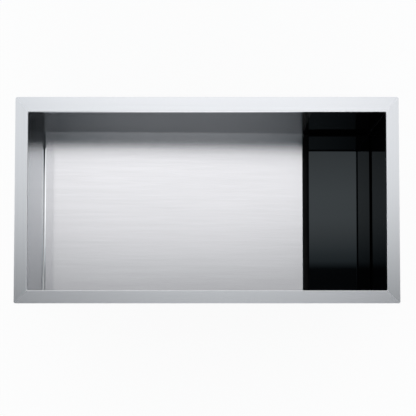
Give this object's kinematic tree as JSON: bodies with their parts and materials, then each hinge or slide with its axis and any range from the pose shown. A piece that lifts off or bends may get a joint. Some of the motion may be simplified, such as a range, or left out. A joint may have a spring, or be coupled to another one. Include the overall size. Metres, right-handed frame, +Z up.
{
  "type": "undermount kitchen sink",
  "caption": "Brushed steel undermount sink whose sloping floor drains through a slot into a sump behind black glass, with a lift-off glass cover over a basket strainer.",
  "frame": {"origin": "centre of the bowl's opening, on the rim's top face where the worktop rests", "axes": "+X along the sink towards the glass drain end, +Y towards the back, +Z up"},
  "size_m": [0.842, 0.454, 0.4426],
  "materials": {
    "brushed_steel": "brushed stainless steel, grain along the floor and walls and along each rim strip",
    "black_glass": "polished black glass with ground edges",
    "black_coated_steel": "satin black coating on steel",
    "sealant": "black silicone",
    "bonding_tape": "matt black foam tape",
    "turned_steel": "turned stainless steel",
    "strainer_steel": "satin stainless steel",
    "black_rubber": "matt black rubber",
    "ring_card": "brown fibre",
    "nut_metal": "die-cast metal",
    "chromed_tube": "chromed tube",
    "white_washer": "white plastic",
    "sound_pad_rubber": "matt dark grey rubber"
  },
  "bodies": {
    "sink": {"back_glass_panel": "black_glass", "back_sound_pad": "sound_pad_rubber", "back_wall": "brushed_steel", "coupling_nut": "nut_metal", "drain_box_back": "brushed_steel", "drain_box_front": "brushed_steel", "drain_box_right": "brushed_steel", "drain_end_sound_pad": "sound_pad_rubber", "floor_sheet": "brushed_steel", "floor_sound_pad": "sound_pad_rubber", "friction_ring": "ring_card", "front_glass_panel": "black_glass", "front_sound_pad": "sound_pad_rubber", "front_wall": "brushed_steel", "left_sound_pad": "sound_pad_rubber", "left_wall": "brushed_steel", "lock_nut": "nut_metal", "lower_gasket": "black_rubber", "outlet_gasket": "black_rubber", "panel_bonding_tape": "bonding_tape", "panel_sealant": "sealant", "right_glass_panel": "black_glass", "rim_back": "brushed_steel", "rim_front": "brushed_steel", "rim_left": "brushed_steel", "rim_right": "brushed_steel", "strainer_body": "strainer_steel", "sump_pan": "black_coated_steel", "tailpiece": "chromed_tube", "tailpiece_washer": "white_washer"},
    "cover": {"drain_cover_glass": "black_glass", "cover_feet": "turned_steel", "cover_foot_pads": "black_rubber"},
    "basket": {"strainer_basket": "strainer_steel", "basket_post": "turned_steel", "basket_knob": "turned_steel", "basket_stopper": "black_rubber"}
  },
  "joints": [
    {"name": "cover_lift", "type": "slide", "parent": "sink", "child": "cover", "axis": [0, 0, 1], "range_m": [0, 0.28]},
    {"name": "basket_lift", "type": "slide", "parent": "sink", "child": "basket", "axis": [0, 0, 1], "range_m": [0, 0.012]}
  ]
}
